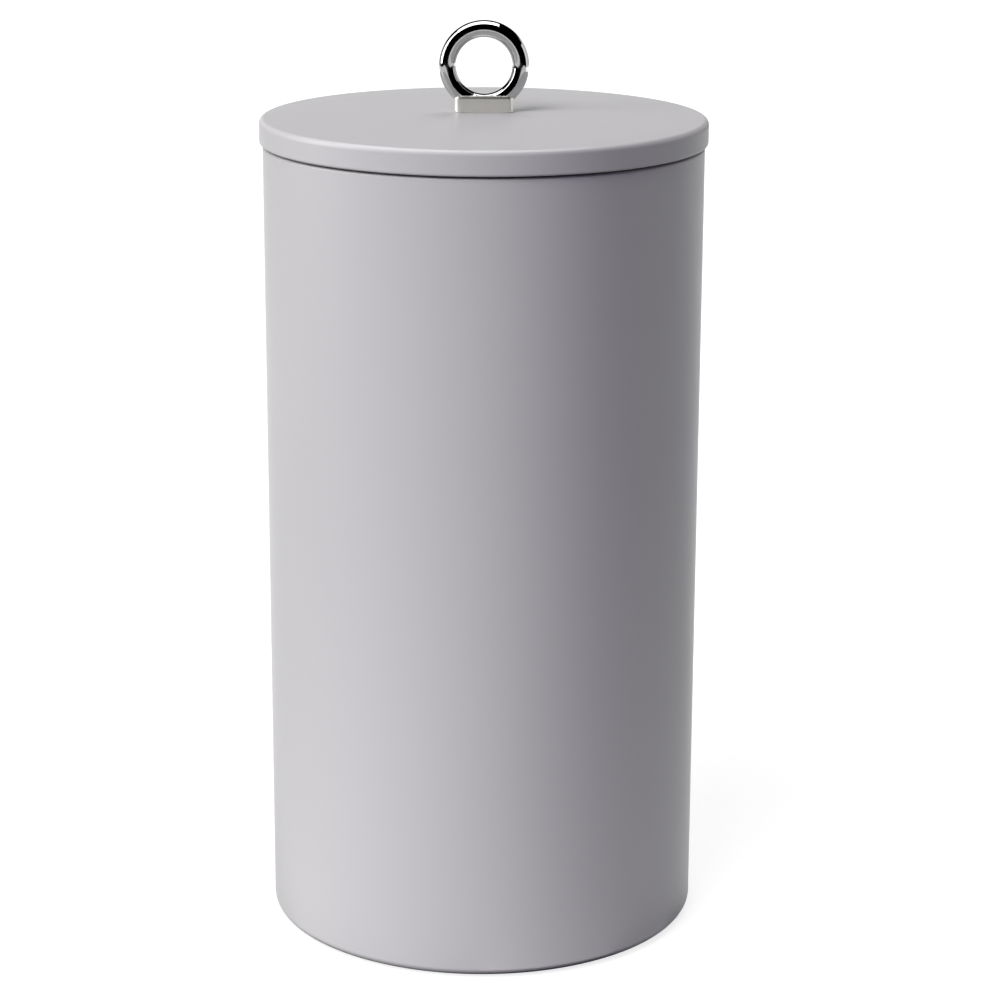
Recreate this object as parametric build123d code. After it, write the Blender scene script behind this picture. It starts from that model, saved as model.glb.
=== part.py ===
from build123d import *
import math
import os

# Lidded waste bin: a straight cast cylinder with a loose lid, a plated ring to lift it by and a
# plastic liner inside. Millimetres, +Z up, the origin at the middle of the base on the floor,
# and the ring's face looks along Y.

# Driving dimensions of the cast body
lid_diameter = 200.0
lid_overhang = 1.5
body_height = 359.2
body_wall = 6.0
body_draft = 1.0
body_floor = 8.0
base_edge_radius = 4.0
rim_edge_radius = 1.0
mouth_lead = 1.0
floor_corner_radius = 6.0

# Rubber pads under the base
pad_diameter = 16.0
pad_thickness = 2.0
pad_stand = 1.0
pad_inset = 12.5
pad_side_gap = 0.2
pad_edge_bevel = 0.5

# Loose lid with its locating plug, and the soft ring it sits on
seal_thickness = 1.0
seal_width = 4.0
seal_side_gap = 0.1
lid_edge_height = 10.9
lid_crown = 2.1
lid_middle_thickness = 7.0
lid_top_edge_radius = 2.4
lid_low_edge_radius = 1.0
lid_recess_radius = 3.0
plug_depth = 10.0
plug_wall = 4.5
plug_side_gap = 1.2
plug_lead = 1.2

# Ring handle, one casting with its foot
ring_outer_diameter = 40.0
ring_tube_diameter = 7.5
ring_lift = 0.6
foot_width = 26.6
foot_height = 7.7
foot_margin = 0.55
foot_corner_radius = 3.5
foot_edge_radius = 0.5
seat_margin = 2.0
nib_diameter = 2.8
nib_length = 2.0
nib_offset = 8.5
nib_gap = 0.2
thread_roof = 1.7

# Button-head screw and wide washer that hold the handle
screw_diameter = 4.0
screw_head_diameter = 7.6
screw_head_height = 2.2
screw_socket_width = 2.5
screw_socket_depth = 1.3
screw_head_bevel = 1.3
screw_tip_gap = 0.6
thread_gap = 0.05
screw_hole_diameter = 4.5
washer_diameter = 12.0
washer_bore = 4.3
washer_thickness = 1.0

# Lift-out liner
liner_wall = 1.8
liner_side_gap = 3.0
liner_top_gap = 4.0
liner_lip_width = 3.5
liner_lip_drop = 6.0
liner_taper = 6.0
liner_base_ring = 11.0
liner_base_rise = 3.0
liner_outer_corner = 5.0
liner_lip_bevel = 0.6
finger_hole_diameter = 24.0
finger_hole_drop = 26.0

# Radii that follow from them
lid_radius = lid_diameter / 2
body_radius = lid_radius - lid_overhang
mouth_radius = body_radius - body_wall
plug_radius = mouth_radius - plug_side_gap
liner_rim_radius = mouth_radius - liner_side_gap
liner_neck_radius = liner_rim_radius - liner_lip_width
liner_base_radius = liner_neck_radius - liner_taper
ring_centre_radius = (ring_outer_diameter - ring_tube_diameter) / 2
seat_radius = foot_width / 2 + seat_margin

# Heights that follow from them
base_z = pad_stand
floor_z = base_z + body_floor
rim_z = base_z + body_height
lid_low_z = rim_z + seal_thickness
lid_edge_z = lid_low_z + lid_edge_height
lid_seat_z = lid_edge_z + lid_crown
ceiling_z = lid_seat_z - lid_middle_thickness
plug_low_z = lid_low_z - plug_depth
liner_rim_z = plug_low_z - liner_top_gap
ring_centre_z = lid_seat_z + ring_lift + ring_outer_diameter / 2
foot_top_z = lid_seat_z + foot_height
screw_tip_z = foot_top_z - thread_roof
finger_hole_z = liner_rim_z - finger_hole_drop


def turned(corners):
    """Solid turned about Z from its half section, given as (radius, height, rounding) corners."""
    outline = FilletPolyline(
        *[(radius, height) for radius, height, rounding in corners],
        radius=[rounding for radius, height, rounding in corners],
        close=True,
    )
    return revolve(Plane.XZ * make_face(outline), Axis.Z)


def upright_cylinder(diameter, low_z, high_z, x=0.0, y=0.0):
    """Round bar that stands on low_z and ends at high_z."""
    bar = Cylinder(diameter / 2, high_z - low_z, align=(Align.CENTER, Align.CENTER, Align.MIN))
    return Pos(x, y, low_z) * bar


def pad_places():
    """Name and centre of each base pad; the front is on the -Y side."""
    reach = (body_radius - base_edge_radius - pad_inset) / math.sqrt(2)
    places = {}
    for end, y in (("front", -reach), ("back", reach)):
        for side, x in (("left", -reach), ("right", reach)):
            places[f"foot_pad_{end}_{side}"] = (x, y)
    return places


def body_shell():
    """Cast cylinder with a closed floor, drafted inside so that it leaves the mould."""
    shell = turned(
        [
            (0, base_z, 0),
            (body_radius, base_z, base_edge_radius),
            (body_radius, rim_z, rim_edge_radius),
            (mouth_radius + mouth_lead, rim_z, 0),
            (mouth_radius, rim_z - mouth_lead, 0),
            (mouth_radius - body_draft, floor_z, floor_corner_radius),
            (0, floor_z, 0),
        ]
    )
    for x, y in pad_places().values():
        shell -= upright_cylinder(pad_diameter + 2 * pad_side_gap, 0, pad_thickness, x, y)
    return shell


def foot_pad(x, y):
    """Rubber disc seated in its pocket, standing proud of the base."""
    pad = upright_cylinder(pad_diameter, 0, pad_thickness, x, y)
    return chamfer(pad.edges().group_by(Axis.Z)[0], pad_edge_bevel)


def lid_section():
    """Half section of the lid: crowned top, square edge, locating plug and hollow underside."""
    recess_radius = plug_radius - plug_wall
    top = TangentArc((seat_radius, lid_seat_z), (lid_radius, lid_edge_z), tangent=(1, 0))
    rest = Polyline(
        (lid_radius, lid_edge_z),
        (lid_radius, lid_low_z),
        (plug_radius, lid_low_z),
        (plug_radius, plug_low_z + plug_lead),
        (plug_radius - plug_lead, plug_low_z),
        (recess_radius + plug_lead, plug_low_z),
        (recess_radius, plug_low_z + plug_lead),
        (recess_radius, ceiling_z),
        (0, ceiling_z),
        (0, lid_seat_z),
        (seat_radius, lid_seat_z),
    )
    section = make_face(top + rest)
    roundings = [
        ((lid_radius, lid_edge_z), lid_top_edge_radius),
        ((lid_radius, lid_low_z), lid_low_edge_radius),
        ((recess_radius, ceiling_z), lid_recess_radius),
    ]
    for corner, radius in roundings:
        section = fillet(section.vertices().sort_by_distance(corner)[0], radius)
    return section


def lid():
    """Crowned disc with a screw hole and two blind holes for the handle's nibs."""
    disc = revolve(Plane.XZ * lid_section(), Axis.Z)
    disc -= upright_cylinder(screw_hole_diameter, ceiling_z, lid_seat_z)
    for x in (-nib_offset, nib_offset):
        hole_low_z = lid_seat_z - nib_length - nib_gap
        disc -= upright_cylinder(nib_diameter + 2 * nib_gap, hole_low_z, lid_seat_z, x)
    return disc


def lid_seal_ring():
    """Flat silicone ring round the root of the plug, which keeps lid and rim apart."""
    inner_radius = plug_radius + seal_side_gap
    outer_radius = inner_radius + seal_width
    disc = upright_cylinder(2 * outer_radius, rim_z, lid_low_z)
    return disc - upright_cylinder(2 * inner_radius, rim_z, lid_low_z)


def ring_handle():
    """Round ring grown out of a small rounded foot, with a tapped hole and two locating nibs."""
    tube_radius = ring_tube_diameter / 2
    foot_depth = ring_tube_diameter + 2 * foot_margin
    foot_outline = RectangleRounded(foot_width, foot_depth, foot_corner_radius)
    foot = Pos(0, 0, lid_seat_z) * extrude(foot_outline, foot_height)
    foot = fillet(foot.edges().group_by(Axis.Z)[-1], foot_edge_radius)
    ring = Pos(0, 0, ring_centre_z) * Rot(90, 0, 0) * Torus(ring_centre_radius, tube_radius)
    casting = foot + ring
    for x in (-nib_offset, nib_offset):
        casting += upright_cylinder(nib_diameter, lid_seat_z - nib_length, lid_seat_z, x)
    thread_diameter = screw_diameter + 2 * thread_gap
    casting -= upright_cylinder(thread_diameter, lid_seat_z, screw_tip_z + screw_tip_gap)
    return casting


def handle_washer():
    """Wide washer that spreads the screw's load on the lid's underside."""
    low_z = ceiling_z - washer_thickness
    disc = upright_cylinder(washer_diameter, low_z, ceiling_z)
    return disc - upright_cylinder(washer_bore, low_z, ceiling_z)


def handle_screw():
    """Button-head screw from below the lid into the handle's foot."""
    bearing_z = ceiling_z - washer_thickness
    head_low_z = bearing_z - screw_head_height
    head = upright_cylinder(screw_head_diameter, head_low_z, bearing_z)
    head = chamfer(head.edges().group_by(Axis.Z)[0], screw_head_bevel)
    screw = head + upright_cylinder(screw_diameter, bearing_z, screw_tip_z)
    socket = extrude(RegularPolygon(screw_socket_width / 2, 6, major_radius=False), screw_socket_depth)
    return screw - Pos(0, 0, head_low_z) * socket


def liner_bucket():
    """Tapered thin bucket with a turned-down lip, a raised floor and two finger holes."""
    lip_low_z = liner_rim_z - liner_lip_drop
    lip_inner_radius = liner_rim_radius - liner_wall
    ramp_radius = liner_base_radius - liner_base_ring
    ramp_shift = liner_wall * (math.sqrt(2) - 1)
    floor_rise_z = floor_z + liner_base_rise
    bucket = turned(
        [
            (0, floor_rise_z, 0),
            (ramp_radius - liner_base_rise, floor_rise_z, 0),
            (ramp_radius, floor_z, 0),
            (liner_base_radius, floor_z, liner_outer_corner),
            (liner_neck_radius, liner_rim_z - liner_wall, 0),
            (lip_inner_radius, liner_rim_z - liner_wall, 0),
            (lip_inner_radius, lip_low_z, 0),
            (liner_rim_radius, lip_low_z, 0),
            (liner_rim_radius, liner_rim_z - liner_lip_bevel, 0),
            (liner_rim_radius - liner_lip_bevel, liner_rim_z, 0),
            (liner_neck_radius - liner_wall + liner_lip_bevel, liner_rim_z, 0),
            (liner_neck_radius - liner_wall, liner_rim_z - liner_lip_bevel, 0),
            (liner_base_radius - liner_wall, floor_z + liner_wall, liner_outer_corner - liner_wall),
            (ramp_radius + ramp_shift, floor_z + liner_wall, 0),
            (ramp_radius + ramp_shift - liner_base_rise, floor_rise_z + liner_wall, 0),
            (0, floor_rise_z + liner_wall, 0),
        ]
    )
    punch = Rot(0, 90, 0) * Cylinder(finger_hole_diameter / 2, 2 * liner_rim_radius)
    return bucket - Pos(0, 0, finger_hole_z) * punch


pieces = {
    "body_shell": body_shell(),
    "lid": lid(),
    "lid_seal_ring": lid_seal_ring(),
    "ring_handle": ring_handle(),
    "handle_washer": handle_washer(),
    "handle_screw": handle_screw(),
    "liner_bucket": liner_bucket(),
}
for pad_name, (pad_x, pad_y) in pad_places().items():
    pieces[pad_name] = foot_pad(pad_x, pad_y)

os.makedirs("parts", exist_ok=True)
for piece_name, piece in pieces.items():
    export_step(piece, f"parts/{piece_name}.step")
    print(piece_name, "volume", round(piece.volume), "mm3")
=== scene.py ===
# %% [markdown]
# # A lidded waste bin in cast resin
# The real bin is a heavy cast cylinder with a loose lid, a chrome-plated ring to lift the lid by and a thin plastic
# liner inside. Almost every piece is round about one upright axis, so one idea carries the whole lesson: draw half
# a section, round its corners as the mould does, and turn it. The solids that hold the pieces together come first.

# %% Load the frame
import math

import bmesh
import bpy
from mathutils import Matrix, Vector


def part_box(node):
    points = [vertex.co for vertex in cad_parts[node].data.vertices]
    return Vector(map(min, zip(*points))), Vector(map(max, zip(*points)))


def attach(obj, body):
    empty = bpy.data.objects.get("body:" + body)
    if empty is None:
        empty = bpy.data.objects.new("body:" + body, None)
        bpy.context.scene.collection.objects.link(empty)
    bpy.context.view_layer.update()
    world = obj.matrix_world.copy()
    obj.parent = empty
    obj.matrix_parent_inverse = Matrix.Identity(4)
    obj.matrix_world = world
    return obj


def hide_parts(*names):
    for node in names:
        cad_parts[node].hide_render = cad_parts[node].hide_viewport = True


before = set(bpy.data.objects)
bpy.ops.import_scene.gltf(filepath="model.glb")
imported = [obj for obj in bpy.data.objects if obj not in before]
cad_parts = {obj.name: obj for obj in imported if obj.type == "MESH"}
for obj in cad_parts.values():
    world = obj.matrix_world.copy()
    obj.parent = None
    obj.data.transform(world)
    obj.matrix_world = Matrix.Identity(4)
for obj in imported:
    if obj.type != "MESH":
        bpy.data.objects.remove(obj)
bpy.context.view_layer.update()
print("solids loaded:", len(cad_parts))

# %% [markdown]
# ## The camera
# The photograph was taken with a long lens from a little above the lid, so upright edges lean together only
# slightly. The place and the tilt come from fitting the rims' ellipses and the body's two sides. A long lens far
# away is the way to get that flat look; a wide lens close by would make the lid far too round.

# %% Set the camera
MM = 0.001
camera_place = Vector((0.00785, -1.30615, 0.55893))
camera_pitch = math.radians(15.573)
camera_roll = 0.0043

camera_data = bpy.data.cameras.new("photo_camera")
camera_data.lens = 105.8
camera_data.sensor_width = 36.0
camera = bpy.data.objects.new("photo_camera", camera_data)
bpy.context.scene.collection.objects.link(camera)
looking = Matrix.Rotation(math.pi / 2 - camera_pitch, 4, "X") @ Matrix.Rotation(camera_roll, 4, "Z")
camera.matrix_world = Matrix.Translation(camera_place) @ looking
bpy.context.scene.camera = camera
bpy.context.scene.view_settings.view_transform = "Standard"
print("camera distance to the axis:", round(-camera_place.y, 3), "m")

# %% [markdown]
# ## The studio
# The body is bright on its left flank and falls off smoothly to the right, where a faint light from behind draws the
# edge again. That asks for two broad soft suns from the left, one low and one high, a weak one from behind and very
# little light from all round. Suns are used and not lamps near by, because the brightness in the photograph hardly
# changes from top to bottom. The floor and the background are plain white there, so the floor and a round wall far
# behind it shine a little by themselves.

# %% Suns, floor and air
def toward(azimuth, elevation):
    """Direction from the bin: azimuth 0 is the front and negative is left, both in degrees."""
    turn, lift = math.radians(azimuth), math.radians(elevation)
    return Vector((math.sin(turn) * math.cos(lift), -math.cos(turn) * math.cos(lift), math.sin(lift)))


def add_sun(name, azimuth, elevation, spread, strength, color=(1.0, 1.0, 1.0)):
    """Soft sun that gives a matt white face turned to it the brightness strength."""
    data = bpy.data.lights.new(name, "SUN")
    data.color = color
    data.energy = math.pi * strength
    data.angle = math.radians(spread)
    sun = bpy.data.objects.new(name, data)
    sun.rotation_euler = toward(azimuth, elevation).to_track_quat("Z", "Y").to_euler()
    sun.visible_glossy = False
    bpy.context.scene.collection.objects.link(sun)


def plain_material(name, color, roughness):
    """Principled material with constants only, as a start for a finish."""
    material = bpy.data.materials.new(name)
    material.use_nodes = True
    shader = material.node_tree.nodes["Principled BSDF"]
    shader.inputs["Base Color"].default_value = (*color, 1.0)
    shader.inputs["Roughness"].default_value = roughness
    return material, shader


def add_stage(name, verts, faces, shine):
    """Pale stage piece that shines by itself and lights and shades nothing."""
    mesh = bpy.data.meshes.new(name)
    mesh.from_pydata(verts, [], faces)
    material, shader = plain_material("pale_" + name, (0.3, 0.3, 0.3), 1.0)
    shader.inputs["Emission Color"].default_value = (1.0, 1.0, 1.0, 1.0)
    shader.inputs["Emission Strength"].default_value = shine
    mesh.materials.append(material)
    piece = bpy.data.objects.new(name, mesh)
    piece.visible_diffuse = False
    piece.visible_glossy = False
    piece.visible_shadow = False
    bpy.context.scene.collection.objects.link(piece)


add_stage("floor", [(-6, -6, 0), (6, -6, 0), (6, 6, 0), (-6, 6, 0)], [(0, 1, 2, 3)], 0.8)
wall_turns = [math.tau * i / 64 for i in range(64)]
wall_verts = [(5.9 * math.cos(turn), 5.9 * math.sin(turn), z) for z in (-0.01, 9) for turn in wall_turns]
wall_faces = [(i, (i + 1) % 64, 64 + (i + 1) % 64, 64 + i) for i in range(64)]
add_stage("backdrop", wall_verts, wall_faces, 1.0)

add_sun("low_left_sun", -65, 15, 30, 0.655)
add_sun("high_left_sun", -35, 50, 34, 0.79)
add_sun("back_sun", 170, 60, 40, 0.34)
add_sun("blue_front_sun", 8, 15, 40, 0.05, color=(0.28, 0.16, 1.0))
world = bpy.data.worlds.new("studio_air")
world.use_nodes = True
world.node_tree.nodes["Background"].inputs["Color"].default_value = (1.0, 1.0, 1.0, 1.0)
world.node_tree.nodes["Background"].inputs["Strength"].default_value = 0.05
world.cycles_visibility.glossy = False
bpy.context.scene.world = world

# %% [markdown]
# ## What the chrome sees
# Chrome shows its surroundings and hardly anything of itself. On the ring one can read a tall white strip on the
# left, a white ceiling above, grey walls behind and darkness in front. Each is a panel that mirrors see, and the strip
# and the ceiling light nothing else. Small panels lie on the floor for the light that a real floor throws back.

# %% Panels
def add_panel(name, place, aim, width, height, glow, lights=False, mirrored=True):
    """Glowing panel at place that faces aim; lights says if it lights matt faces, mirrored if mirrors see it."""
    data = bpy.data.lights.new(name, "AREA")
    data.shape = "RECTANGLE"
    data.size = width
    data.size_y = height
    data.energy = math.pi**2 * width * height * glow
    panel = bpy.data.objects.new(name, data)
    panel.location = place
    panel.rotation_euler = (Vector(place) - Vector(aim)).to_track_quat("Z", "Y").to_euler()
    panel.visible_camera = False
    panel.visible_diffuse = lights
    panel.visible_glossy = mirrored
    bpy.context.scene.collection.objects.link(panel)


add_panel("left_strip", (-1.5, 0, 1.15), (0, 0, 1.15), 0.72, 1.7, 1.6)
add_panel("ceiling", (-0.42, 0.09, 2.0), (-0.42, 0.09, 0), 2.16, 1.28, 1.42)
add_panel("table", (0, 0, 0.003), (0, 0, 1), 5.4, 5.4, 0.28)
add_panel("back_wall", toward(180, 0) * 2.6, (0, 0, 0), 3.0, 2.0, 0.3)
for side_name, azimuth, elevation, width, glow, lights in (
    ("right", 95, 8, 0.8, 0.4, False),
    ("right_back", 130, 8, 0.9, 0.3, True),
    ("left_back", -125, 2, 0.8, 0.13, True),
):
    middle = Vector((0, 0, 0.3))
    add_panel(side_name + "_wall", middle + toward(azimuth, elevation) * 1.6, middle, width, 1.1, glow, lights)
for spot, x, y, size, glow in (
    ("behind", 0.28, 0.12, 0.35, 0.24),
    ("front", 0.3, -0.5, 0.9, 0.09),
    ("near", 0.12, -0.2, 0.24, 0.07),
    ("left", -0.2, -0.16, 0.2, 0.16),
):
    add_panel("floor_" + spot, (x, y, 0.004), (x, y, 1), size, size, glow, lights=True, mirrored=False)
print("panels:", len([data for data in bpy.data.lights if data.type == "AREA"]))

# %% [markdown]
# ## Half sections with rounded corners
# A mould has no sharp edges: each corner of a casting has its own radius, and the light that runs along it tells us
# what the piece is made of. A list of corners with a radius each is the draughtsman's way to say that. Every arc gets
# the points it needs, and a holding point just past each end keeps the flats beside it flat when they are shaded.

# %% Rounding a section
HOLD = 0.25 * MM
FINE_HOLD = 0.1 * MM


def rounded(corners, steps=8, hold=HOLD):
    """Points of an open section from (radius, height, rounding) corners, all in metres."""
    points = []
    for index, (r, z, rounding) in enumerate(corners):
        here = Vector((r, z))
        if rounding == 0 or index in (0, len(corners) - 1):
            points.append(here)
            continue
        before = (Vector(corners[index - 1][:2]) - here).normalized()
        after = (Vector(corners[index + 1][:2]) - here).normalized()
        half = before.angle(after) / 2
        reach = rounding / math.tan(half)
        middle = here + (before + after).normalized() * rounding / math.sin(half)
        start = here + before * reach - middle
        sweep = math.pi - 2 * half
        side = 1 if before.cross(after) < 0 else -1
        points.append(here + before * (reach + hold))
        for step in range(steps + 1):
            turn = side * sweep * step / steps
            cos, sin = math.cos(turn), math.sin(turn)
            points.append(middle + Vector((start.x * cos - start.y * sin, start.x * sin + start.y * cos)))
        points.append(here + after * (reach + hold))
    return points


print("a 4 mm corner becomes", len(rounded([(0, 0, 0), (0.1, 0, 0.004), (0.1, 0.1, 0)])), "points")

# %% [markdown]
# ## A turning tree
# Every turned piece uses one Geometry Nodes tree. It lays out a grid with one row for each point of the section and
# one column for each step round the axis, moves each grid point to its place, and closes the seam and the poles by
# merging points that meet. A spin tool in mesh code would do as well, but here the number of steps stays an input.

# %% Build the turning tree
def join(tree, out_socket, in_socket):
    tree.links.new(out_socket, in_socket)


def math_node(tree, operation, first, second):
    """Math node on two values or sockets."""
    node = tree.nodes.new("ShaderNodeMath")
    node.operation = operation
    for socket, value in zip(node.inputs, (first, second)):
        if isinstance(value, (int, float)):
            socket.default_value = value
        else:
            join(tree, value, socket)
    return node.outputs[0]


def build_turning_tree():
    """Section points in, closed turned mesh out."""
    tree = bpy.data.node_groups.new("turn_section", "GeometryNodeTree")
    inputs = (("Section", "NodeSocketGeometry"), ("Steps", "NodeSocketInt"), ("Finish", "NodeSocketMaterial"))
    for name, kind in inputs:
        tree.interface.new_socket(name, in_out="INPUT", socket_type=kind)
    tree.interface.new_socket("Piece", in_out="OUTPUT", socket_type="NodeSocketGeometry")
    nodes = tree.nodes
    given = nodes.new("NodeGroupInput")
    result = nodes.new("NodeGroupOutput")

    size = nodes.new("GeometryNodeAttributeDomainSize")
    join(tree, given.outputs["Section"], size.inputs["Geometry"])
    rows = size.outputs["Point Count"]
    grid = nodes.new("GeometryNodeMeshGrid")
    join(tree, rows, grid.inputs["Vertices X"])
    join(tree, math_node(tree, "ADD", given.outputs["Steps"], 1), grid.inputs["Vertices Y"])

    index = nodes.new("GeometryNodeInputIndex").outputs[0]
    columns = math_node(tree, "ADD", given.outputs["Steps"], 1)
    row = math_node(tree, "FLOOR", math_node(tree, "DIVIDE", math_node(tree, "ADD", index, 0.5), columns), 0)
    column = math_node(tree, "SUBTRACT", index, math_node(tree, "MULTIPLY", row, columns))
    share = math_node(tree, "DIVIDE", column, given.outputs["Steps"])
    angle = math_node(tree, "MULTIPLY", share, math.tau)

    sample = nodes.new("GeometryNodeSampleIndex")
    sample.data_type = "FLOAT_VECTOR"
    join(tree, given.outputs["Section"], sample.inputs["Geometry"])
    join(tree, nodes.new("GeometryNodeInputPosition").outputs[0], sample.inputs["Value"])
    join(tree, row, sample.inputs["Index"])
    turn = nodes.new("ShaderNodeVectorRotate")
    turn.rotation_type = "Z_AXIS"
    join(tree, sample.outputs[0], turn.inputs["Vector"])
    join(tree, angle, turn.inputs["Angle"])

    place = nodes.new("GeometryNodeSetPosition")
    join(tree, grid.outputs["Mesh"], place.inputs["Geometry"])
    join(tree, turn.outputs[0], place.inputs["Position"])
    merge = nodes.new("GeometryNodeMergeByDistance")
    merge.inputs["Distance"].default_value = 0.002 * MM
    join(tree, place.outputs[0], merge.inputs["Geometry"])
    real = nodes.new("GeometryNodeRealizeInstances")
    join(tree, merge.outputs[0], real.inputs[0])
    paint = nodes.new("GeometryNodeSetMaterial")
    join(tree, real.outputs[0], paint.inputs["Geometry"])
    join(tree, given.outputs["Finish"], paint.inputs["Material"])
    join(tree, paint.outputs[0], result.inputs[0])
    return tree


turning_tree = build_turning_tree()


def link(name, mesh):
    piece = bpy.data.objects.new(name, mesh)
    bpy.context.scene.collection.objects.link(piece)
    return piece


def set_input(tree, modifier, name, value):
    """Set a tree's input on its modifier, by the socket's identifier."""
    for item in tree.interface.items_tree:
        if item.item_type == "SOCKET" and item.in_out == "INPUT" and item.name == name:
            modifier[item.identifier] = value


def evaluated(piece):
    """Plain mesh of a piece with its modifiers, and no modifiers left."""
    shown = piece.evaluated_get(bpy.context.evaluated_depsgraph_get())
    mesh = bpy.data.meshes.new_from_object(shown)
    piece.modifiers.clear()
    piece.data = mesh
    return mesh


def finish_faces(mesh, crease=35.0):
    """Faces outwards, smooth, with a sharp edge wherever two faces meet at more than the crease angle."""
    work = bmesh.new()
    work.from_mesh(mesh)
    bmesh.ops.recalc_face_normals(work, faces=work.faces)
    for face in work.faces:
        face.smooth = True
    work.to_mesh(mesh)
    work.free()
    mesh.set_sharp_from_angle(angle=math.radians(crease))


def turned(name, points, material, steps=256):
    """Piece turned about the upright axis from its closed section."""
    section = bpy.data.meshes.new(name)
    section.from_pydata([(p.x, 0.0, p.y) for p in points], [], [])
    piece = link(name, section)
    modifier = piece.modifiers.new("turn", "NODES")
    modifier.node_group = turning_tree
    set_input(turning_tree, modifier, "Steps", steps)
    set_input(turning_tree, modifier, "Finish", material)
    mesh = evaluated(piece)
    finish_faces(mesh)
    print(name, "faces:", len(mesh.polygons))
    return piece


def cut(piece, cutter):
    """Take the cutter's shape out of the piece and throw the cutter away."""
    modifier = piece.modifiers.new("cut", "BOOLEAN")
    modifier.operation = "DIFFERENCE"
    modifier.solver = "EXACT"
    modifier.object = cutter
    evaluated(piece)
    bpy.data.objects.remove(cutter)
    finish_faces(piece.data)


def fitted(piece, body, slot, *nodes):
    """Hand the piece to the frame: what carries it and what it stands for; slot, what it is finished like, is not
    used.
    """
    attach(piece, body)
    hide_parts(*nodes)


# %% [markdown]
# ## What the surfaces share
# Cast and moulded surfaces are never quite even: the pigment clouds a little, the gloss varies where the piece was
# rubbed down, and the face has a very fine orange peel. One node group makes those three maps from noise on Object
# coordinates, so that the pattern sticks to the piece, and each finish sets its own scale and strength.

# %% Build the uneven surface group
def build_surface_group():
    """Color, roughness and height that vary over the surface."""
    group = bpy.data.node_groups.new("uneven_surface", "ShaderNodeTree")
    inputs = (
        ("Color", "NodeSocketColor", (0.5, 0.5, 0.5, 1.0)),
        ("Cloud Color", "NodeSocketColor", (0.45, 0.45, 0.45, 1.0)),
        ("Cloud Scale", "NodeSocketFloat", 9.0),
        ("Roughness", "NodeSocketFloat", 0.4),
        ("Rub", "NodeSocketFloat", 0.05),
        ("Peel Scale", "NodeSocketFloat", 900.0),
    )
    for name, kind, value in inputs:
        group.interface.new_socket(name, in_out="INPUT", socket_type=kind).default_value = value
    for name, kind in (("Color", "NodeSocketColor"), ("Roughness", "NodeSocketFloat"), ("Height", "NodeSocketFloat")):
        group.interface.new_socket(name, in_out="OUTPUT", socket_type=kind)
    nodes = group.nodes
    given = nodes.new("NodeGroupInput")
    result = nodes.new("NodeGroupOutput")
    place = nodes.new("ShaderNodeTexCoord").outputs["Object"]

    cloud = nodes.new("ShaderNodeTexNoise")
    cloud.inputs["Detail"].default_value = 4.0
    join(group, place, cloud.inputs["Vector"])
    join(group, given.outputs["Cloud Scale"], cloud.inputs["Scale"])
    blend = nodes.new("ShaderNodeMix")
    blend.data_type = "RGBA"
    join(group, cloud.outputs["Fac"], blend.inputs["Factor"])
    join(group, given.outputs["Color"], blend.inputs["A"])
    join(group, given.outputs["Cloud Color"], blend.inputs["B"])
    join(group, blend.outputs["Result"], result.inputs["Color"])

    rub = nodes.new("ShaderNodeTexNoise")
    rub.inputs["Detail"].default_value = 3.0
    join(group, place, rub.inputs["Vector"])
    join(group, math_node(group, "MULTIPLY", given.outputs["Cloud Scale"], 3.1), rub.inputs["Scale"])
    swing = math_node(group, "SUBTRACT", rub.outputs["Fac"], 0.5)
    swing = math_node(group, "MULTIPLY", swing, given.outputs["Rub"])
    join(group, math_node(group, "ADD", given.outputs["Roughness"], swing), result.inputs["Roughness"])

    peel = nodes.new("ShaderNodeTexNoise")
    peel.inputs["Detail"].default_value = 2.0
    join(group, place, peel.inputs["Vector"])
    join(group, given.outputs["Peel Scale"], peel.inputs["Scale"])
    join(group, peel.outputs["Fac"], result.inputs["Height"])
    return group


surface_group = build_surface_group()


def uneven_material(name, color, cloud_color, cloud_scale, roughness, rub, peel_scale, peel_height):
    """Finish with clouded color, rubbed gloss and a fine peel of the given height in metres."""
    material, shader = plain_material(name, color, roughness)
    tree = material.node_tree
    surface = tree.nodes.new("ShaderNodeGroup")
    surface.node_tree = surface_group
    surface.inputs["Color"].default_value = (*color, 1.0)
    surface.inputs["Cloud Color"].default_value = (*cloud_color, 1.0)
    surface.inputs["Cloud Scale"].default_value = cloud_scale
    surface.inputs["Roughness"].default_value = roughness
    surface.inputs["Rub"].default_value = rub
    surface.inputs["Peel Scale"].default_value = peel_scale
    bump = tree.nodes.new("ShaderNodeBump")
    bump.inputs["Distance"].default_value = peel_height
    join(tree, surface.outputs["Color"], shader.inputs["Base Color"])
    join(tree, surface.outputs["Roughness"], shader.inputs["Roughness"])
    join(tree, surface.outputs["Height"], bump.inputs["Height"])
    join(tree, bump.outputs["Normal"], shader.inputs["Normal"])
    return material, shader
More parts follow.
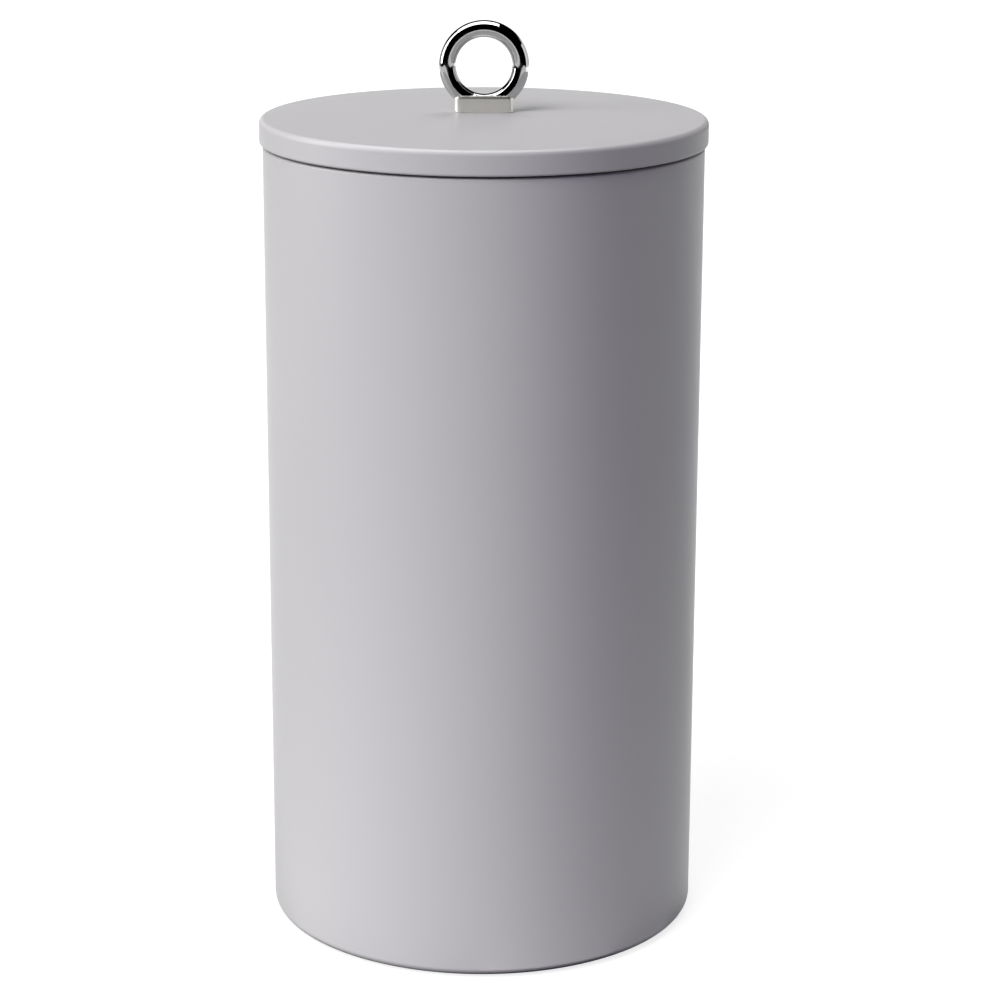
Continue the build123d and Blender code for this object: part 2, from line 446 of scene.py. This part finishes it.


# %% [markdown]
# ## The finishes
# The bin is cast resin with a satin face in a light, very slightly cool grey. The ring is zinc with polished chrome
# on it, which is nearly a mirror, so it takes almost all its look from the studio. Its foot has the same plating on a
# blasted face, which blurs it; its colour is painted lighter and warmer than the ring's chrome, as painted light for
# the brighter reflection on the foot. The hidden pieces are the plain ones of such a product: black rubber, black
# liner plastic and zinc-plated steel.

# %% Make the finishes
cast_resin, cast_resin_shader = uneven_material(
    "cast_resin", (0.475, 0.465, 0.475), (0.455, 0.445, 0.455), 9.0, 0.45, 0.06, 1400.0, 0.000012
)
chrome, chrome_shader = uneven_material(
    "polished_chrome", (0.52, 0.52, 0.52), (0.5, 0.5, 0.5), 60.0, 0.06, 0.02, 250.0, 0.0000015
)
chrome_shader.inputs["Metallic"].default_value = 1.0
# The foot's plating is painted lighter and warmer than the ring's chrome: painted light for the brighter reflection on
# the foot.
satin_chrome_painted_bright, satin_chrome_painted_bright_shader = uneven_material(
    "satin_chrome_painted_bright", (0.94, 0.93, 0.865), (0.92, 0.91, 0.845), 120.0, 0.28, 0.03, 1500.0, 0.0000008
)
satin_chrome_painted_bright_shader.inputs["Metallic"].default_value = 0.9
plated_steel, plated_steel_shader = uneven_material(
    "zinc_plated_steel", (0.62, 0.62, 0.64), (0.5, 0.5, 0.52), 300.0, 0.32, 0.15, 2500.0, 0.000008
)
plated_steel_shader.inputs["Metallic"].default_value = 1.0
liner_plastic, liner_shader = uneven_material(
    "liner_plastic", (0.035, 0.035, 0.037), (0.045, 0.045, 0.047), 20.0, 0.42, 0.1, 2200.0, 0.00002
)
soft_rubber, rubber_shader = uneven_material(
    "soft_rubber", (0.03, 0.03, 0.03), (0.04, 0.04, 0.04), 60.0, 0.75, 0.1, 3000.0, 0.00002
)
print("finishes:", [m.name for m in (cast_resin, chrome, satin_chrome_painted_bright, plated_steel, liner_plastic, soft_rubber)])

# %% [markdown]
# ## The cast body
# The body is a straight cylinder with a thick wall and a closed floor. Its section is read from the solid's own box,
# so it cannot drift away from the frame. Four shallow pockets in the base take the rubber pads.

# %% Make the body
body_low, body_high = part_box("body_shell")
pad_low, pad_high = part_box("foot_pad_front_right")
seal_low, seal_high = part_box("lid_seal_ring")
wall = 6.0 * MM
draft = 1.0 * MM
floor_thickness = 8.0 * MM
body_radius = 98.5 * MM
base_z, rim_z = body_low[2], body_high[2]
mouth_radius = body_radius - wall
floor_z = base_z + floor_thickness

body_shell = turned(
    "cast_body",
    rounded(
        [
            (0, base_z, 0),
            (body_radius, base_z, 4.0 * MM),
            (body_radius, rim_z, 1.0 * MM),
            (mouth_radius, rim_z, 1.0 * MM),
            (mouth_radius - draft, floor_z, 6.0 * MM),
            (0, floor_z, 0),
        ]
    ),
    cast_resin,
)
pad_reach = (pad_low[0] + pad_high[0]) / 2
pad_radius = (pad_high[0] - pad_low[0]) / 2
pad_height = pad_high[2]


def disc_at(name, x, y, radius, low_z, high_z, steps=64):
    """Plain upright drum, for cutting."""
    work = bmesh.new()
    middle = Matrix.Translation((x, y, (low_z + high_z) / 2))
    bmesh.ops.create_cone(
        work, cap_ends=True, segments=steps, radius1=radius, radius2=radius, depth=high_z - low_z, matrix=middle
    )
    mesh = bpy.data.meshes.new(name)
    work.to_mesh(mesh)
    work.free()
    return link(name, mesh)


for pad_x in (-pad_reach, pad_reach):
    for pad_y in (-pad_reach, pad_reach):
        cut(body_shell, disc_at("pocket", pad_x, pad_y, pad_radius + 0.2 * MM, -pad_height, pad_height))
fitted(body_shell, "bin", "cast_resin_body", "body_shell")

# %% [markdown]
# ## The rubber pads
# The four pads are one moulding four times over, so a small tree puts one turned pad on each of four points and makes
# them real. All four ride with the bin, so they may stay one mesh.

# %% Make the pads
def build_scatter_tree():
    """Copies of one piece on given points."""
    tree = bpy.data.node_groups.new("copies_on_points", "GeometryNodeTree")
    inputs = (("Points", "NodeSocketGeometry"), ("Piece", "NodeSocketObject"), ("Finish", "NodeSocketMaterial"))
    for name, kind in inputs:
        tree.interface.new_socket(name, in_out="INPUT", socket_type=kind)
    tree.interface.new_socket("Copies", in_out="OUTPUT", socket_type="NodeSocketGeometry")
    nodes = tree.nodes
    given = nodes.new("NodeGroupInput")
    result = nodes.new("NodeGroupOutput")
    info = nodes.new("GeometryNodeObjectInfo")
    join(tree, given.outputs["Piece"], info.inputs["Object"])
    copies = nodes.new("GeometryNodeInstanceOnPoints")
    join(tree, given.outputs["Points"], copies.inputs["Points"])
    join(tree, info.outputs["Geometry"], copies.inputs["Instance"])
    real = nodes.new("GeometryNodeRealizeInstances")
    join(tree, copies.outputs[0], real.inputs[0])
    paint = nodes.new("GeometryNodeSetMaterial")
    join(tree, real.outputs[0], paint.inputs["Geometry"])
    join(tree, given.outputs["Finish"], paint.inputs["Material"])
    join(tree, paint.outputs[0], result.inputs[0])
    return tree


scatter_tree = build_scatter_tree()
one_pad = turned(
    "one_pad",
    rounded([(0, 0, 0), (pad_radius, 0, 0.5 * MM), (pad_radius, pad_height, 0), (0, pad_height, 0)], steps=4),
    soft_rubber,
    steps=64,
)
pad_points = bpy.data.meshes.new("foot_pads")
pad_points.from_pydata([(x, y, 0) for x in (-pad_reach, pad_reach) for y in (-pad_reach, pad_reach)], [], [])
foot_pads = link("foot_pads", pad_points)
pad_modifier = foot_pads.modifiers.new("copies", "NODES")
pad_modifier.node_group = scatter_tree
set_input(scatter_tree, pad_modifier, "Piece", one_pad)
set_input(scatter_tree, pad_modifier, "Finish", soft_rubber)
evaluated(foot_pads)
finish_faces(foot_pads.data)
bpy.data.objects.remove(one_pad)
pad_names = [f"foot_pad_{end}_{side}" for end in ("front", "back") for side in ("left", "right")]
fitted(foot_pads, "bin", "pad_rubber", *pad_names)
print("pads:", len(pad_names))

# %% [markdown]
# ## The lid
# The lid is one casting: a low crown on top so that water runs off, a square edge with small radii, a plug that finds
# the mouth, and a hollow underside. The crown is part of a very large circle, so its height is worked out along the
# radius with one formula, and the handle's seat in the middle stays flat.

# %% Make the lid
lid_low, lid_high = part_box("lid")
lid_radius = lid_high[0]
seat_z = lid_high[2]
lid_low_z = seal_high[2]
lid_edge_z = lid_low_z + 10.9 * MM
seat_radius = 15.3 * MM
plug_radius = mouth_radius - 1.2 * MM
plug_low_z = lid_low[2]
recess_radius = plug_radius - 4.5 * MM
ceiling_z = seat_z - 7.0 * MM


def crown_height(radius):
    """Height of the crown: flat over the seat, then a circle that leaves it level."""
    if radius <= seat_radius:
        return seat_z
    span = lid_radius - seat_radius
    fall = seat_z - lid_edge_z
    bend = (span**2 + fall**2) / (2 * fall)
    return seat_z - bend + math.sqrt(bend**2 - (radius - seat_radius) ** 2)


crown_steps = 24
top_edge = 2.4 * MM
crown_end = lid_radius - 2.6 * top_edge
crown_radii = [seat_radius + (crown_end - seat_radius) * i / crown_steps for i in range(crown_steps + 1)]
crown = [(radius, crown_height(radius), 0) for radius in crown_radii]
lid_corners = [(0, seat_z, 0), *crown, (lid_radius, lid_edge_z, top_edge)]
lid_corners += [
    (lid_radius, lid_low_z, 1.0 * MM),
    (plug_radius, lid_low_z, 0),
    (plug_radius, plug_low_z, 1.5 * MM),
    (recess_radius, plug_low_z, 1.5 * MM),
    (recess_radius, ceiling_z, 3.0 * MM),
    (0, ceiling_z, 0),
]
lid = turned("cast_lid", rounded(lid_corners), cast_resin)
fitted(lid, "lid", "cast_resin_lid", "lid")

# %% [markdown]
# ## The soft ring under the lid
# A flat silicone ring lies round the plug's root. It keeps resin off resin and holds the narrow gap open that reads
# as one dark line in the photograph.

# %% Make the soft ring
seal_outer = seal_high[0]
seal_inner = plug_radius + 0.1 * MM
seal_corners = [
    ((seal_inner + seal_outer) / 2, seal_low[2], 0),
    (seal_outer, seal_low[2], 0.2 * MM),
    (seal_outer, seal_high[2], 0.2 * MM),
    (seal_inner, seal_high[2], 0.2 * MM),
    (seal_inner, seal_low[2], 0.2 * MM),
    ((seal_inner + seal_outer) / 2, seal_low[2], 0),
]
seal = turned("soft_ring", rounded(seal_corners, steps=3, hold=FINE_HOLD), soft_rubber)
fitted(seal, "lid", "seal_silicone", "lid_seal_ring")

# %% [markdown]
# ## The ring handle
# The ring is a plain round tube bent into a circle, and it grows out of a small block with rounded corners. On a
# mirror finish every dent shows, so both shapes are laid out exactly: the tube by two angles, and the block by its
# rounded outline, drawn in at the top until it is hardly wider than the tube. A union joins them, and the line where
# they meet stays crisp. Faces that lie on the tube get the polish, and all others get the blasted finish, whose
# colour is painted lighter and warmer than the polish as painted light.

# %% Make the ring handle
handle_low, handle_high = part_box("ring_handle")
ring_radius = handle_high[0]
tube_radius = 3.75 * MM
ring_z = handle_high[2] - ring_radius


def round_tube(name, bend_radius, radius, middle_z, steps_round=192, steps_tube=64):
    """Ring that stands upright and faces along Y."""
    verts = []
    for i in range(steps_round):
        around = math.tau * i / steps_round
        for j in range(steps_tube):
            across = math.tau * j / steps_tube
            reach = bend_radius + radius * math.cos(across)
            verts.append((reach * math.cos(around), radius * math.sin(across), middle_z + reach * math.sin(around)))
    faces = []
    for i in range(steps_round):
        for j in range(steps_tube):
            i2, j2 = (i + 1) % steps_round, (j + 1) % steps_tube
            faces.append([a * steps_tube + b for a, b in ((i, j), (i2, j), (i2, j2), (i, j2))])
    mesh = bpy.data.meshes.new(name)
    mesh.from_pydata(verts, [], faces)
    finish_faces(mesh)
    return link(name, mesh)


def rounded_outline(width, depth, corner, steps=12):
    """Points round a rectangle with rounded corners."""
    points = []
    for quarter, (sx, sy) in enumerate(((1, 1), (-1, 1), (-1, -1), (1, -1))):
        middle = Vector((sx * (width / 2 - corner), sy * (depth / 2 - corner)))
        for step in range(steps + 1):
            turn = math.pi / 2 * (quarter + step / steps)
            points.append(middle + corner * Vector((math.cos(turn), math.sin(turn))))
    return points


def rounded_block(name, width, depth, corner, low_z, high_z, fall, steep):
    """Upright block with rounded corners and a fine bevel round its base; its top slopes in by fall over steep."""
    bevel = 0.4 * MM
    lean = fall / steep
    shoulder_z = high_z - steep
    levels = [
        (low_z, bevel),
        (low_z + bevel, 0.0),
        (low_z + bevel + FINE_HOLD, 0.0),
        (shoulder_z - FINE_HOLD, 0.0),
        (shoulder_z, 0.0),
        (shoulder_z + FINE_HOLD, FINE_HOLD * lean),
        (high_z - 2 * FINE_HOLD, fall - 2 * FINE_HOLD * lean),
        (high_z - FINE_HOLD, fall - FINE_HOLD * lean),
        (high_z, fall + FINE_HOLD / 2),
        (high_z, fall + FINE_HOLD * 3 / 2),
    ]
    work = bmesh.new()
    rings = []
    for z, inset in levels:
        outline = rounded_outline(width - 2 * inset, depth - 2 * inset, corner - inset)
        rings.append([work.verts.new((p.x, p.y, z)) for p in outline])
    for lower, upper in zip(rings, rings[1:]):
        for i in range(len(lower)):
            k = (i + 1) % len(lower)
            work.faces.new((lower[i], lower[k], upper[k], upper[i]))
    work.faces.new(reversed(rings[0]))
    work.faces.new(rings[-1])
    mesh = bpy.data.meshes.new(name)
    work.to_mesh(mesh)
    work.free()
    finish_faces(mesh)
    return link(name, mesh)


foot_width, foot_depth, foot_height = 26.6 * MM, 8.6 * MM, 7.5 * MM
ring_handle = rounded_block(
    "ring_handle_casting", foot_width, foot_depth, 3.5 * MM, seat_z, seat_z + foot_height, 0.5 * MM, 1.2 * MM
)
ring_tube = round_tube("ring_tube", ring_radius - tube_radius, tube_radius, ring_z)
union = ring_handle.modifiers.new("join", "BOOLEAN")
union.operation = "UNION"
union.solver = "EXACT"
union.object = ring_tube
evaluated(ring_handle)
bpy.data.objects.remove(ring_tube)
finish_faces(ring_handle.data, crease=25.0)
ring_handle.data.materials.clear()
ring_handle.data.materials.append(chrome)
ring_handle.data.materials.append(satin_chrome_painted_bright)
ring_middle = Vector((0, 0, ring_z))
# Faces off the tube take the foot's plating, whose lighter, warmer colour is painted light.
for face in ring_handle.data.polygons:
    spoke = face.center - ring_middle
    across = math.hypot(math.hypot(spoke.x, spoke.z) - (ring_radius - tube_radius), spoke.y)
    on_tube = abs(across - tube_radius) < 0.02 * MM
    face.material_index = 0 if on_tube else 1
fitted(ring_handle, "lid", "plated_zinc", "ring_handle")
print("handle faces:", len(ring_handle.data.polygons))

# %% [markdown]
# ## Screw and washer
# Lift the lid and turn it over, and a wide washer and a button-head screw show in the hollow. The head is a turned
# dome, and its six-sided socket is cut out of it.

# %% Make the screw and the washer
screw_low, screw_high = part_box("handle_screw")
washer_low, washer_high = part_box("handle_washer")
washer_radius = washer_high[0]
bore_radius = 2.15 * MM
washer_middle = (bore_radius + washer_radius) / 2
washer_corners = [
    (washer_middle, washer_low[2], 0),
    (washer_radius, washer_low[2], 0.15 * MM),
    (washer_radius, washer_high[2], 0.15 * MM),
    (bore_radius, washer_high[2], 0.15 * MM),
    (bore_radius, washer_low[2], 0.15 * MM),
    (washer_middle, washer_low[2], 0),
]
washer = turned("wide_washer", rounded(washer_corners, steps=3, hold=FINE_HOLD), plated_steel, steps=96)
fitted(washer, "lid", "zinc_plated_steel", "handle_washer")

head_radius = screw_high[0]
shank_radius = 2.0 * MM
head_low_z, bearing_z, tip_z = screw_low[2], washer_low[2], screw_high[2]
screw_corners = [
    (0, head_low_z, 0),
    (head_radius, head_low_z, 1.3 * MM),
    (head_radius, bearing_z, 0.1 * MM),
    (shank_radius, bearing_z, 0),
    (shank_radius, tip_z, 0.4 * MM),
    (0, tip_z, 0),
]
screw = turned("button_screw", rounded(screw_corners, hold=FINE_HOLD), plated_steel, steps=96)
socket_reach = 1.25 * MM / math.cos(math.pi / 6)
cut(screw, disc_at("socket", 0, 0, socket_reach, head_low_z - 1.3 * MM, head_low_z + 1.3 * MM, steps=6))
fitted(screw, "lid", "zinc_plated_steel", "handle_screw")

# %% [markdown]
# ## The liner
# The liner is a thin moulded bucket that tapers so that it leaves its mould and slips into the bin. It has a lip
# turned down round the top, a floor raised in the middle and two round holes for the fingertips.

# %% Make the liner
liner_low, liner_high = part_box("liner_bucket")
liner_wall = 1.8 * MM
rim_radius = mouth_radius - 3.0 * MM
neck_radius = rim_radius - 3.5 * MM
base_radius = neck_radius - 6.0 * MM
liner_floor_z, liner_rim_z = liner_low[2], liner_high[2]
lip_low_z = liner_rim_z - 6.0 * MM
ramp_radius = base_radius - 11.0 * MM
rise = 3.0 * MM
ramp_shift = liner_wall * (math.sqrt(2) - 1)
liner_corners = [
    (0, liner_floor_z + rise, 0),
    (ramp_radius - rise, liner_floor_z + rise, 0.8 * MM),
    (ramp_radius, liner_floor_z, 0.8 * MM),
    (base_radius, liner_floor_z, 5.0 * MM),
    (neck_radius, liner_rim_z - liner_wall, 0.8 * MM),
    (rim_radius - liner_wall, liner_rim_z - liner_wall, 0.3 * MM),
    (rim_radius - liner_wall, lip_low_z, 0.3 * MM),
    (rim_radius, lip_low_z, 0.3 * MM),
    (rim_radius, liner_rim_z, 0.8 * MM),
    (neck_radius - liner_wall, liner_rim_z, 0.8 * MM),
    (base_radius - liner_wall, liner_floor_z + liner_wall, 3.2 * MM),
    (ramp_radius + ramp_shift, liner_floor_z + liner_wall, 0.8 * MM),
    (ramp_radius + ramp_shift - rise, liner_floor_z + rise + liner_wall, 0.8 * MM),
    (0, liner_floor_z + rise + liner_wall, 0),
]
liner = turned("liner_bucket_shell", rounded(liner_corners, steps=5, hold=FINE_HOLD), liner_plastic)
hole_z = liner_rim_z - 26.0 * MM
punch = disc_at("punch", 0, 0, 12.0 * MM, -2 * rim_radius, 2 * rim_radius, steps=96)
punch.data.transform(Matrix.Translation((0, 0, hole_z)) @ Matrix.Rotation(math.pi / 2, 4, "Y"))
cut(liner, punch)
fitted(liner, "liner", "liner_plastic", "liner_bucket")
